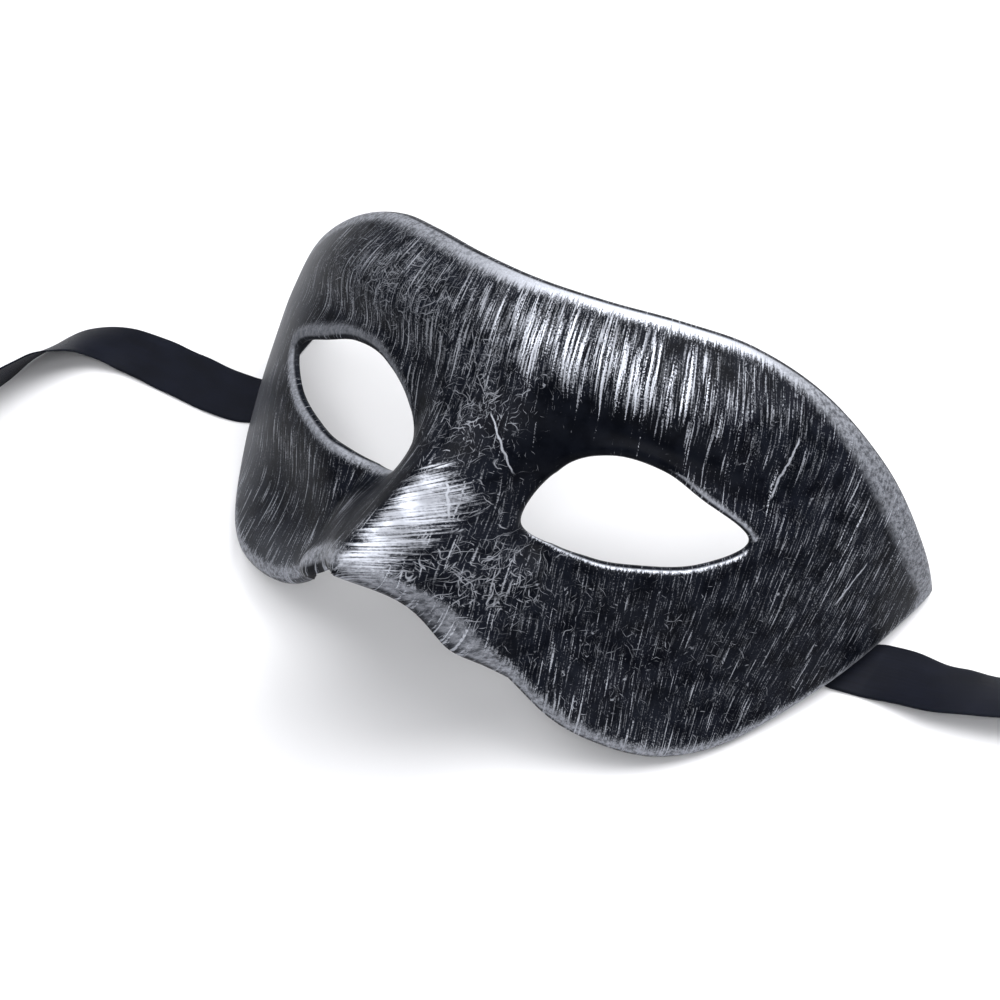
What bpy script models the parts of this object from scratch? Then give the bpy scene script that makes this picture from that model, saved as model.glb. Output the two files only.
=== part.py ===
"""Half-face masquerade eye mask with a satin ribbon tie at each temple.

The shell is drawn as it is worn: X runs across the face, -Y out of the face and +Z up. It is then
pitched back until it lies on its cheek lobes and temples, as it does by itself on a table.
Units are metres, +Z is up, and the origin lies on the table under the middle of the shell.
"""

import math

import bmesh
import bpy
import numpy as np
from mathutils import Vector

COLLECTION_NAME = "masquerade_eye_mask"

# Plan curve of the shell: half an ellipse round the front of the head, drawn in above and below
HALF_WIDTH = 0.0880
WRAP_DEPTH = 0.0780
TOP_TAPER = 0.245
CHEEK_TAPER = 0.02
LEVEL_BAND = 0.0085
TAPER_REACH = 0.0480

# Free edge of the half: its reach round the head, and its heights above and below the eye line
TEMPLE_REACH = 0.1218
BROW_HEIGHT = 0.0408
TEMPLE_HEIGHT = 0.0027
CHEEK_DROP = 0.0475

# Wall and rolled edges
WALL = 0.0016
RIM_RADIUS = 0.0032
EYE_LIP_RADIUS = 0.0020

# Eye hole, a leaf whose long axis rises to its outer corner
EYE_CENTRE_ACROSS = 0.0380
EYE_CENTRE_HEIGHT = -0.0031
EYE_SLANT = math.radians(16.5)
EYE_HALF_LENGTH = 0.0228
EYE_RISE = 0.0159

# Nose: a ridge that runs out and down from the bridge to the tip
NOSE_FORWARD = 0.0386
NOSE_BRIDGE_HEIGHT = 0.0061
NOSE_TIP_DROP = 0.0236
NOSE_HALF_WIDTH = 0.0266
NOSE_BRIDGE_SHARE = 0.66
NOSE_BRIDGE_SOFTNESS = 0.22
NOSE_RIDGE_SOFTNESS = 0.07
NOSE_FLANK_POWER = 1.4

# Swells and hollows of the face: where each lies, how far it spreads and how far it stands out
RELIEF_DEPTH = 0.0100

# Across as shares of half width, up as shares of brow height, out as shares of relief depth
BROW_FORMS = (
    # name, across, height, spread across, spread up, push out
    ("eye_socket", 0.2193, 0.1838, 0.1091, 0.2108, -0.23),
    ("brow_ridge", 0.4136, 0.6299, 0.3159, 0.2108, 0.23),
    ("lid_hollow", 0.4375, 0.3676, 0.2670, 0.1324, -0.29),
)

# The same, up as shares of cheek drop
CHEEK_FORMS = (
    # name, across, height, spread across, spread up, push out
    ("nose_side", 0.2068, -0.1537, 0.0977, 0.2021, -0.93),
    ("cheek_hollow", 0.5341, -0.5853, 0.2432, 0.2695, -0.47),
    ("nostril_side", 0.1250, -0.6105, 0.0795, 0.1263, -0.35),
    ("nostril_wing", 0.2159, -0.7789, 0.1000, 0.1895, 0.62),
)

# Upper edge from the centre line to the temple corner
UPPER_EDGE = (
    # name, share of temple reach, share of brow height
    ("centre_dip", 0.00, 0.947),
    ("inner_brow", 0.13, 0.963),
    ("brow_start", 0.27, 0.997),
    ("brow_peak", 0.41, 1.000),
    ("outer_brow", 0.56, 0.900),
    ("brow_end", 0.71, 0.670),
    ("upper_temple", 0.86, 0.355),
    ("temple_shoulder", 0.975, 0.130),
)

# Lower edge from the temple corner to the nose tip
LOWER_EDGE = (
    # name, share of temple reach, share of cheek drop
    ("temple_underside", 0.985, 0.000),
    ("under_temple", 0.88, 0.20),
    ("jaw_line", 0.75, 0.505),
    ("outer_lobe", 0.61, 0.815),
    ("lobe_corner", 0.49, 0.963),
    ("lobe_bottom", 0.37, 0.985),
    ("inner_lobe", 0.27, 0.932),
    ("nostril_foot", 0.17, 0.770),
    ("nostril_arch", 0.08, 0.600),
)

# Eye hole, anticlockwise from its outer corner, along its long axis and above it
EYE_EDGE = (
    # name, share of half length, share of rise
    ("outer_corner", 1.00, 0.00),
    ("upper_outer", 0.56, 0.52),
    ("outer_lid", 0.22, 0.86),
    ("top", -0.25, 1.00),
    ("inner_lid", -0.70, 0.74),
    ("inner_corner", -1.00, 0.00),
    ("lower_inner", -0.42, -0.33),
    ("bottom", 0.00, -0.40),
    ("lower_outer", 0.55, -0.34),
)

# Ribbon ties, which pass under the raised edge below each temple and lie on the table
RIBBON_WIDTH = 0.0150
RIBBON_THICKNESS = 0.0010
RIBBON_BACK = 0.0180

# Stretch inside the shell: up the inner face of the temple to the fixed end
HIDDEN_STRETCH = (
    # name, out from the rim, back, lift of the lower edge, turn of the width, lean of the width
    ("fixed_end", -0.0094, 0.0185, 0.0240, 62, 0),
    ("upper_wall", -0.0072, 0.0185, 0.0180, 66, 0),
    ("middle_wall", -0.0055, 0.0185, 0.0120, 69, 0),
    ("inner_wall", -0.0038, 0.0185, 0.0080, 70, 0),
    ("wall_foot", -0.0032, 0.0185, 0.0036, 70, 0),
    ("bend", -0.0020, 0.0185, 0.0008, 72, 0),
    ("under_rim", 0.0005, 0.0185, 0.0, 76, 0),
)

# Free stretch of the tie on the mask's +X side: it rolls its front edge up as it leaves
RIGHT_STRETCH = (
    # name, out from the rim, back, lift of the lower edge, turn of the width, lean of the width
    ("clear_of_rim", 0.0055, 0.0200, 0.0, 86, 0),
    ("flat", 0.0115, 0.0210, 0.0, 92, -5),
    ("rolling", 0.0190, 0.0216, 0.0, 96, -14),
    ("bending_back", 0.0245, 0.0230, 0.0, 102, -19),
    ("rolled", 0.0305, 0.0248, 0.0, 108, -25),
    ("near_frame_edge", 0.0385, 0.0280, 0.0, 113, -30),
    ("past_frame_edge", 0.0455, 0.0314, 0.0, 116, -30),
    ("near_end", 0.0530, 0.0350, 0.0, 116, -24),
    ("cut_end", 0.0610, 0.0386, 0.0, 114, -16),
)

# Free stretch of the tie on the -X side: it lies flat, then turns forward and stands on its edge
LEFT_STRETCH = (
    # name, out from the rim, back, lift of the lower edge, turn of the width, lean of the width
    ("clear_of_rim", 0.0060, 0.0162, 0.0, 84, 0),
    ("flat", 0.0140, 0.0151, 0.0, 90, 0),
    ("flat_middle", 0.0280, 0.0151, 0.0, 90, 0),
    ("flat_end", 0.0420, 0.0149, 0.0, 90, -3),
    ("turning", 0.0515, 0.0130, 0.0, 68, -12),
    ("rolling", 0.0563, 0.0100, 0.0, 56, -21),
    ("rolled_half", 0.0590, 0.0060, 0.0, 44, -31),
    ("edge_on", 0.0608, 0.0018, 0.0, 34, -40),
    ("standing", 0.0623, -0.0027, 0.0, 25, -47),
    ("heading_forward", 0.0632, -0.0075, 0.0, 15, -53),
    ("near_frame_edge", 0.0640, -0.0130, 0.0, 8, -57),
    ("past_frame_edge", 0.0646, -0.0205, 0.0, 4, -60),
    ("cut_end", 0.0650, -0.0280, 0.0, 2, -62),
)

# Mesh counts of half the sheet, and where the rings of a rolled edge lie as shares of its radius
OUTER_STEPS = 50
CENTRE_STEPS = 11
EYE_STEPS = 96
FACE_RINGS = 8
HOLE_SHARE_AT_TOP = 0.40
HOLE_SHARE_AT_NOSE = 0.55
EDGE_RINGS = (0.0, 0.2, 0.55)
CURVE_SAMPLES = 16
NORMAL_STEP = 0.00025
MERGE_DISTANCE = 0.00005
PITCH_STEPS = 40
RIM_SEARCH = 0.0030
RIBBON_SPAN_STEPS = 3
RIBBON_STRIPS = 2

# Looks of the plain materials
SHELL_COLOUR = (0.045, 0.048, 0.060)
SHELL_ROUGHNESS = 0.42
SHELL_METALLIC = 0.3
RIBBON_COLOUR = (0.012, 0.014, 0.026)
RIBBON_ROUGHNESS = 0.38
RIBBON_METALLIC = 0.0


def ellipse_turn(along):
    """Return the turn round the plan ellipse, in radians, for a length round the head."""
    quarter_arc = (HALF_WIDTH + WRAP_DEPTH) * math.pi / 4
    return along / quarter_arc * math.pi / 2


def nose_push(across, height):
    """Return how far the nose stands out of the plan curve at a point."""
    run = (NOSE_BRIDGE_HEIGHT - height) / (NOSE_BRIDGE_HEIGHT + NOSE_TIP_DROP)
    rise = (run + math.hypot(run, NOSE_BRIDGE_SOFTNESS)) / 2
    widening = NOSE_BRIDGE_SHARE + (1 - NOSE_BRIDGE_SHARE) * min(max(run, 0.0), 1.0)
    flank = math.hypot(across / (NOSE_HALF_WIDTH * widening), NOSE_RIDGE_SOFTNESS)
    return NOSE_FORWARD * rise * max(1 - flank, 0.0) ** NOSE_FLANK_POWER


def forms_push(across, height, forms, reach_up):
    """Return how far a table's swells and hollows stand out at a point, with heights as shares of a reach."""
    push = 0.0
    for _name, centre, level, spread_across, spread_up, amount in forms:
        beside = (abs(across) - HALF_WIDTH * centre) / (HALF_WIDTH * spread_across)
        above = (height - reach_up * level) / (reach_up * spread_up)
        push += RELIEF_DEPTH * amount * math.exp(-(beside ** 2 + above ** 2))
    return push


def relief(across, height):
    """Return how far the face stands out of the plan curve, with the nose and every swell and hollow."""
    brow = forms_push(across, height, BROW_FORMS, BROW_HEIGHT)
    cheek = forms_push(across, height, CHEEK_FORMS, CHEEK_DROP)
    return nose_push(across, height) + brow + cheek


def face_point(along, height):
    """Return the point of the outer face at a length round the head and a height."""
    turn = ellipse_turn(along)
    across = HALF_WIDTH * math.sin(turn)
    back = WRAP_DEPTH * (1 - math.cos(turn))
    outward = Vector((WRAP_DEPTH * math.sin(turn), -HALF_WIDTH * math.cos(turn), 0.0)).normalized()
    above = max(height - LEVEL_BAND, 0.0) / TAPER_REACH
    below = max(-height - LEVEL_BAND, 0.0) / TAPER_REACH
    taper = 1 - TOP_TAPER * above ** 2 - CHEEK_TAPER * below ** 2
    plan = Vector((across * taper, WRAP_DEPTH + (back - WRAP_DEPTH) * taper, height))
    return plan + outward * relief(across, height)


def face_normal(along, height):
    """Return the outward normal of the outer face, from small steps round and up."""
    round_step = face_point(along + NORMAL_STEP, height) - face_point(along - NORMAL_STEP, height)
    up_step = face_point(along, height + NORMAL_STEP) - face_point(along, height - NORMAL_STEP)
    return round_step.cross(up_step).normalized()


def catmull_rom(before, start, end, after, share):
    """Return the point at a share of the way from start to end on a Catmull-Rom span."""
    pull = (end - before) / 2
    push = (after - start) / 2
    square, cube = share ** 2, share ** 3
    return (
        start * (2 * cube - 3 * square + 1) + pull * (cube - 2 * square + share)
        + end * (3 * square - 2 * cube) + push * (cube - square)
    )


def curve_rows(rows, span_steps, first=None, last=None):
    """Return rows along a smooth curve, column by column; first and last lie beyond its ends."""
    rows = [np.array(row, dtype=float) for row in rows]
    first = 2 * rows[0] - rows[1] if first is None else np.array(first, dtype=float)
    last = 2 * rows[-1] - rows[-2] if last is None else np.array(last, dtype=float)
    rows = [first] + rows + [last]
    curve = [
        catmull_rom(rows[i - 1], rows[i], rows[i + 1], rows[i + 2], share)
        for i in range(1, len(rows) - 2)
        for share in np.linspace(0, 1, span_steps, endpoint=False)
    ]
    return np.array(curve + [rows[-2]])


def smooth_curve(points, steps, first=None, last=None):
    """Return evenly spaced points on a smooth curve through the given ones."""
    dense = curve_rows(points, CURVE_SAMPLES, first, last)
    run = np.concatenate([[0], np.cumsum(np.linalg.norm(np.diff(dense, axis=0), axis=1))])
    even = np.linspace(0, run[-1], steps + 1)
    return np.stack([np.interp(even, run, column) for column in dense.T], axis=1)


def outer_edge():
    """Return the free edge of half the sheet, from the top centre round the temple to the nose tip."""
    upper = [(TEMPLE_REACH * reach, BROW_HEIGHT * rise) for _name, reach, rise in UPPER_EDGE]
    lower = [(TEMPLE_REACH * reach, -CHEEK_DROP * drop) for _name, reach, drop in LOWER_EDGE]
    rows = upper + [(TEMPLE_REACH, TEMPLE_HEIGHT)] + lower + [(0.0, -NOSE_TIP_DROP)]
    mirrored = (-upper[1][0], upper[1][1])
    return smooth_curve(rows, OUTER_STEPS, first=mirrored)


def centre_line(edge):
    """Return the points of the centre line between the nose tip and the top, closer at both ends."""
    rings = [RIM_RADIUS * ring for ring in EDGE_RINGS[1:]]
    tip, top = edge[-1][1], edge[0][1]
    inner = np.linspace(tip + RIM_RADIUS, top - RIM_RADIUS, CENTRE_STEPS + 1)
    heights = np.concatenate([[tip + ring for ring in rings], inner, [top - ring for ring in reversed(rings)]])
    return np.stack([np.zeros_like(heights), heights], axis=1)


def eye_edge():
    """Return the closed edge of the eye hole, with its first point repeated at the end."""
    centre = np.array([EYE_CENTRE_ACROSS, EYE_CENTRE_HEIGHT])
    length_axis = np.array([math.cos(EYE_SLANT), math.sin(EYE_SLANT)])
    rise_axis = np.array([-math.sin(EYE_SLANT), math.cos(EYE_SLANT)])
    rows = [
        centre + length_axis * EYE_HALF_LENGTH * reach + rise_axis * EYE_RISE * rise
        for _name, reach, rise in EYE_EDGE
    ]
    return smooth_curve(rows + rows[:1], EYE_STEPS, first=rows[-1], last=rows[1])


def distance_to_line(point, line):
    """Return the shortest distance from a pattern point to a run of straight steps."""
    starts, steps = line[:-1], np.diff(line, axis=0)
    shares = ((point - starts) * steps).sum(axis=1) / (steps ** 2).sum(axis=1)
    nearest = starts + steps * np.clip(shares, 0, 1)[:, None]
    return float(np.linalg.norm(point - nearest, axis=1).min())


def rolled_back(distance, radius):
    """Return how far a quarter-round edge lies behind the face at a distance from the edge."""
    inset = radius - min(distance, radius)
    return radius - math.sqrt(radius ** 2 - inset ** 2)


def spoke_shares(length):
    """Return the shares along a spoke from the eye hole to the outer edge, closer at both edges."""
    lip = [EYE_LIP_RADIUS * ring / length for ring in EDGE_RINGS]
    rim = [1 - RIM_RADIUS * ring / length for ring in reversed(EDGE_RINGS)]
    inner, outer = EYE_LIP_RADIUS / length, 1 - RIM_RADIUS / length
    return lip + list(np.linspace(inner, outer, FACE_RINGS)) + rim


def hole_roots(hole, tips):
    """Return the point of the eye hole where each spoke starts, evenly between four matched places."""
    temple = int(tips[:, 0].argmax())
    matched_tips = [0, temple, OUTER_STEPS, len(tips)]
    matched_shares = [HOLE_SHARE_AT_TOP, 0.0, HOLE_SHARE_AT_NOSE - 1, HOLE_SHARE_AT_TOP - 1]
    shares = np.interp(np.arange(len(tips)), matched_tips, matched_shares) % 1.0
    even = np.linspace(0, 1, EYE_STEPS + 1)
    return np.stack([np.interp(shares, even, column) for column in hole.T], axis=1)


def half_sheet_mesh():
    """Build the right half of the outer face as spokes from the eye hole to the outer edge."""
    edge, hole = outer_edge(), eye_edge()
    tips = np.concatenate([edge, centre_line(edge)])
    roots = hole_roots(hole, tips)

    sheet = bmesh.new()
    spokes = []
    for tip, root in zip(tips, roots):
        spoke = []
        for share in spoke_shares(np.linalg.norm(tip - root)):
            point = root + (tip - root) * share
            depth = rolled_back(distance_to_line(point, edge), RIM_RADIUS)
            depth += rolled_back(distance_to_line(point, hole), EYE_LIP_RADIUS)
            place = face_point(*point) - face_normal(*point) * depth
            if tip[0] == 0 and share == 1:
                place.x = 0
            spoke.append(sheet.verts.new(place))
        spokes.append(spoke)
    for spoke, following in zip(spokes, spokes[1:] + spokes[:1]):
        for ring in range(len(spoke) - 1):
            sheet.faces.new((spoke[ring], following[ring], following[ring + 1], spoke[ring + 1]))
    mesh = bpy.data.meshes.new("mask_shell")
    sheet.to_mesh(mesh)
    sheet.free()
    mesh.shade_smooth()
    return mesh


def resting_pitch(points):
    """Return the pitch back, in radians, at which the shell stops tipping and lies by itself."""
    from_balance = points[:, 1:] - points[:, 1:].mean(axis=0)
    low, high = 0.0, math.pi / 2
    for _step in range(PITCH_STEPS):
        pitch = (low + high) / 2
        back = from_balance @ (math.cos(pitch), math.sin(pitch))
        height = from_balance @ (-math.sin(pitch), math.cos(pitch))
        if back[height.argmin()] < 0:
            low = pitch
        else:
            high = pitch
    return (low + high) / 2


def evaluated_points(model):
    """Return the object's finished vertices, with its modifiers, as rows of world coordinates."""
    bpy.context.view_layer.update()
    finished = model.evaluated_get(bpy.context.evaluated_depsgraph_get())
    return np.array([model.matrix_world @ vertex.co for vertex in finished.data.vertices])


def build_shell(collection, material):
    """Build the moulded shell, lying on its lobes and temples with the origin under its middle."""
    shell = bpy.data.objects.new("mask_shell", half_sheet_mesh())
    collection.objects.link(shell)
    shell.data.materials.append(material)

    mirror = shell.modifiers.new("other_half", "MIRROR")
    mirror.merge_threshold = MERGE_DISTANCE
    solidify = shell.modifiers.new("wall", "SOLIDIFY")
    solidify.thickness = WALL
    solidify.offset = -1
    solidify.use_even_offset = True

    points = evaluated_points(shell)
    shell.rotation_euler.x = -resting_pitch(points)
    points = evaluated_points(shell)
    shell.location.y = -(points[:, 1].min() + points[:, 1].max()) / 2
    shell.location.z = -points[:, 2].min()
    bpy.context.view_layer.update()
    return shell


def rim_across(shell):
    """Return how far out the raised edge lies where the ribbons pass under it."""
    points = evaluated_points(shell)
    near = points[(points[:, 0] > 0) & (abs(points[:, 1] - RIBBON_BACK) < RIM_SEARCH)]
    return float(near[near[:, 2].argmin()][0])


def ribbon_stations(stretch, rim, side):
    """Return the centre and the width direction of the ribbon at each station, in world space."""
    rows = [row[1:] for row in HIDDEN_STRETCH + stretch]
    for out, back, lift, turn, lean in curve_rows(rows, RIBBON_SPAN_STEPS):
        turn, lean = math.radians(turn), math.radians(lean)
        half_height = RIBBON_WIDTH / 2 * abs(math.sin(lean)) + RIBBON_THICKNESS / 2 * math.cos(lean)
        centre = Vector((side * (rim + out), back, max(lift, 0.0) + half_height))
        width = Vector((
            side * math.cos(lean) * math.cos(turn), math.cos(lean) * math.sin(turn), math.sin(lean),
        ))
        yield centre, width


def build_ribbon(name, collection, material, stretch, rim, side):
    """Build one satin tie as a strip with thickness, from its fixed end to its cut end."""
    strip = bmesh.new()
    shares = np.linspace(-0.5, 0.5, RIBBON_STRIPS + 1)
    rows = [
        [strip.verts.new(centre + width * (RIBBON_WIDTH * share)) for share in shares]
        for centre, width in ribbon_stations(stretch, rim, side)
    ]
    for row, following in zip(rows, rows[1:]):
        for i in range(RIBBON_STRIPS):
            strip.faces.new((row[i], following[i], following[i + 1], row[i + 1]))
    bmesh.ops.recalc_face_normals(strip, faces=strip.faces)
    mesh = bpy.data.meshes.new(name)
    strip.to_mesh(mesh)
    strip.free()
    mesh.shade_smooth()

    ribbon = bpy.data.objects.new(name, mesh)
    collection.objects.link(ribbon)
    ribbon.data.materials.append(material)
    solidify = ribbon.modifiers.new("cloth", "SOLIDIFY")
    solidify.thickness = RIBBON_THICKNESS
    solidify.offset = 0
    return ribbon


def plain_material(name, colour, roughness, metallic):
    """Return a plain Principled material with the piece's main colour."""
    material = bpy.data.materials.new(name)
    material.use_nodes = True
    shader = material.node_tree.nodes["Principled BSDF"]
    shader.inputs["Base Color"].default_value = (*colour, 1.0)
    shader.inputs["Roughness"].default_value = roughness
    shader.inputs["Metallic"].default_value = metallic
    return material


def main():
    """Build the mask in an emptied file."""
    for leftover in list(bpy.data.objects):
        bpy.data.objects.remove(leftover)
    collection = bpy.data.collections.new(COLLECTION_NAME)
    bpy.context.scene.collection.children.link(collection)
    plastic = plain_material("brushed_plastic", SHELL_COLOUR, SHELL_ROUGHNESS, SHELL_METALLIC)
    satin = plain_material("black_satin", RIBBON_COLOUR, RIBBON_ROUGHNESS, RIBBON_METALLIC)
    shell = build_shell(collection, plastic)
    rim = rim_across(shell)
    build_ribbon("ribbon_right", collection, satin, RIGHT_STRETCH, rim, 1)
    build_ribbon("ribbon_left", collection, satin, LEFT_STRETCH, rim, -1)


if __name__ == "__main__":
    main()
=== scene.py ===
"""Masquerade eye mask, dressed: a dry-brushed plastic shell with a black satin ribbon tie at each temple.

The mask lies face up on a pale table. X runs across the face, +Z up from the table, and the nose
points towards -Y. Units are metres, apart from the pattern coordinates, which are millimetres.
"""

import logging
import math
from collections.abc import Sequence
from dataclasses import dataclass
from enum import Enum

import bpy
import numpy as np
from mathutils import Matrix, Vector


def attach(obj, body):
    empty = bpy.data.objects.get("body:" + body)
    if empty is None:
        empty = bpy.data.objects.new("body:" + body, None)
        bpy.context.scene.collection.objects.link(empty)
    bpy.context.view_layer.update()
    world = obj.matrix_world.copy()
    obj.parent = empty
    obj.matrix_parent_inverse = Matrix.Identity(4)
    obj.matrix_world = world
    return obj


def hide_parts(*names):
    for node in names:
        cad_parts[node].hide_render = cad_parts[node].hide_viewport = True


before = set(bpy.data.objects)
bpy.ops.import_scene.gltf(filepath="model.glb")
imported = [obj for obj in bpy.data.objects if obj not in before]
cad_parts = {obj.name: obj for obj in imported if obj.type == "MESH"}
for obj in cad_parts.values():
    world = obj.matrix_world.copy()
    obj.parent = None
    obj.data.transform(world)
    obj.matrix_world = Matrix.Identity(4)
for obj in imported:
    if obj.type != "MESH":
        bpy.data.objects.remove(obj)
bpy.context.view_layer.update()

ROOT = "root"
MM = 1000.0
LOG = logging.getLogger("eye_mask")
Colour = tuple[float, float, float]


class Side(Enum):
    """The temple that a tie is fixed to, as its direction along X."""

    RIGHT = 1
    LEFT = -1


class Sock:
    """A shader socket that takes part in Python sums."""

    def __init__(self, tree: "Weave", socket: bpy.types.NodeSocket) -> None:
        """Keep the socket and the tree that new nodes go into.

        Args:
            tree: the maker of nodes that the socket belongs to.
            socket: an output socket.
        """
        self.tree = tree
        self.socket = socket

    def _math(self, operation: str, *values: "Sock | float", clamp: bool = False) -> "Sock":
        """Add one Math node.

        Args:
            operation: the node's operation.
            values: its inputs, in order.
            clamp: whether the result is held between 0 and 1.

        Returns:
            The node's result.
        """
        settings = {"operation": operation, "use_clamp": clamp}
        return self.tree.node("ShaderNodeMath", settings, dict(enumerate(values)))["Value"]

    def __add__(self, other: "Sock | float") -> "Sock":
        """Return the sum."""
        return self._math("ADD", self, other)

    def __sub__(self, other: "Sock | float") -> "Sock":
        """Return the difference."""
        return self._math("SUBTRACT", self, other)

    def __rsub__(self, other: float) -> "Sock":
        """Return a number less this value."""
        return self._math("SUBTRACT", other, self)

    def __mul__(self, other: "Sock | float") -> "Sock":
        """Return the product."""
        return self._math("MULTIPLY", self, other)

    def __abs__(self) -> "Sock":
        """Return the size of the value."""
        return self._math("ABSOLUTE", self)

    __radd__ = __add__
    __rmul__ = __mul__

    def clamped(self) -> "Sock":
        """Return the value held between 0 and 1."""
        return self._math("ADD", self, 0.0, clamp=True)

    def larger(self, other: "Sock | float") -> "Sock":
        """Return the larger of two values."""
        return self._math("MAXIMUM", self, other)

    def sine(self) -> "Sock":
        """Return the sine of an angle in radians."""
        return self._math("SINE", self)

    def rises(self, low: "Sock | float", high: "Sock | float") -> "Sock":
        """Return a smooth step.

        Args:
            low: the value at which the step is still 0.
            high: the value from which the step is 1.

        Returns:
            The step, from 0 to 1.
        """
        settings = {"interpolation_type": "SMOOTHSTEP"}
        values = {"Value": self, "From Min": low, "From Max": high}
        return self.tree.node("ShaderNodeMapRange", settings, values)["Result"]


class Weave:
    """A material's node tree, and the one method that adds nodes to it."""

    def __init__(self, name: str) -> None:
        """Start an empty material.

        Args:
            name: the material's name.
        """
        self.material = bpy.data.materials.new(name)
        self.material.use_nodes = True
        self.tree = self.material.node_tree
        self.tree.nodes.clear()
        self.output = self.tree.nodes.new("ShaderNodeOutputMaterial")

    def node(self, kind: str, settings: dict[str, object],
             values: dict[str | int, object]) -> dict[str, Sock]:
        """Add a node.

        Args:
            kind: the node's type.
            settings: its properties, set before its sockets.
            values: numbers, tuples or sockets, by input name or place.

        Returns:
            The node's enabled outputs, by name.
        """
        made = self.tree.nodes.new(kind)
        for key, setting in settings.items():
            setattr(made, key, setting)
        for key, value in values.items():
            if isinstance(value, Sock):
                self.tree.links.new(value.socket, made.inputs[key])
            else:
                made.inputs[key].default_value = value
        return {out.name: Sock(self, out) for out in made.outputs if out.enabled}

    def attribute(self, name: str, output: str = "Fac") -> Sock:
        """Read a point attribute of the mesh.

        Args:
            name: the attribute.
            output: Fac for a number, Vector for a place.

        Returns:
            Its value.
        """
        settings = {"attribute_type": "GEOMETRY", "attribute_name": name}
        return self.node("ShaderNodeAttribute", settings, {})[output]

    def split(self, vector: Sock) -> tuple[Sock, Sock, Sock]:
        """Return a vector's three parts."""
        parts = self.node("ShaderNodeSeparateXYZ", {}, {"Vector": vector})
        return parts["X"], parts["Y"], parts["Z"]

    def join(self, x: Sock | float, y: Sock | float, z: Sock | float = 0.0) -> Sock:
        """Return a vector made from three values."""
        return self.node("ShaderNodeCombineXYZ", {}, {"X": x, "Y": y, "Z": z})["Vector"]

    def blend(self, share: Sock | float, first: Colour | Sock, second: Colour | Sock) -> Sock:
        """Mix two colours.

        Args:
            share: how much of the second, from 0 to 1.
            first: the colour at 0.
            second: the colour at 1.

        Returns:
            The mixed colour.
        """
        values = {0: share, 6: _with_alpha(first), 7: _with_alpha(second)}
        return self.node("ShaderNodeMix", {"data_type": "RGBA"}, values)["Result"]

    def between(self, share: Sock, first: float, second: float) -> Sock:
        """Return a value that runs from the first number to the second with the share."""
        return share * (second - first) + first

    def noise(self, vector: Sock, scale: float, detail: float = 2.0, roughness: float = 0.5) -> Sock:
        """Add soft noise.

        Args:
            vector: the place it is read at.
            scale: swells per unit of the place.
            detail: octaves of finer noise.
            roughness: the weight of the finer octaves.

        Returns:
            The noise, about 0.5 on average.
        """
        values = {"Vector": vector, "Scale": scale, "Detail": detail, "Roughness": roughness}
        return self.node("ShaderNodeTexNoise", {"noise_dimensions": "3D"}, values)["Fac"]

    def finish(self, shader: dict[str, object], bump: Sock | None, depth: float) -> bpy.types.Material:
        """Close the material with a Principled shader.

        Args:
            shader: its values, by socket name.
            bump: the height that the surface rises by, from 0 to 1, or None.
            depth: that height's full rise, in metres.

        Returns:
            The finished material.
        """
        if bump is not None:
            values = {"Height": bump, "Distance": depth, "Strength": 1.0}
            shader = {**shader, "Normal": self.node("ShaderNodeBump", {}, values)["Normal"]}
        closed = self.node("ShaderNodeBsdfPrincipled", {}, shader)["BSDF"]
        self.tree.links.new(closed.socket, self.output.inputs["Surface"])
        return self.material


def _with_alpha(colour: Colour | Sock) -> tuple[float, ...] | Sock:
    """Return a plain colour with full alpha, or a socket as it is."""
    return colour if isinstance(colour, Sock) else (*colour, 1.0)


@dataclass(frozen=True)
class Grain:
    """The noises that break the paint up: strokes of three widths, the nose's sweep and blotches."""

    hair: Sock
    medium: Sock
    coarse: Sock
    swept: Sock
    speckle: Sock
    patches: Sock
    mottle: Sock

    def ragged(self) -> Sock:
        """Return how far a painted band's border strays, in millimetres, about 0 on average."""
        return (self.medium - 0.5) * 4.0 + (self.hair - 0.5) * 3.0 + (self.speckle - 0.5) * 4.0


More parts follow.
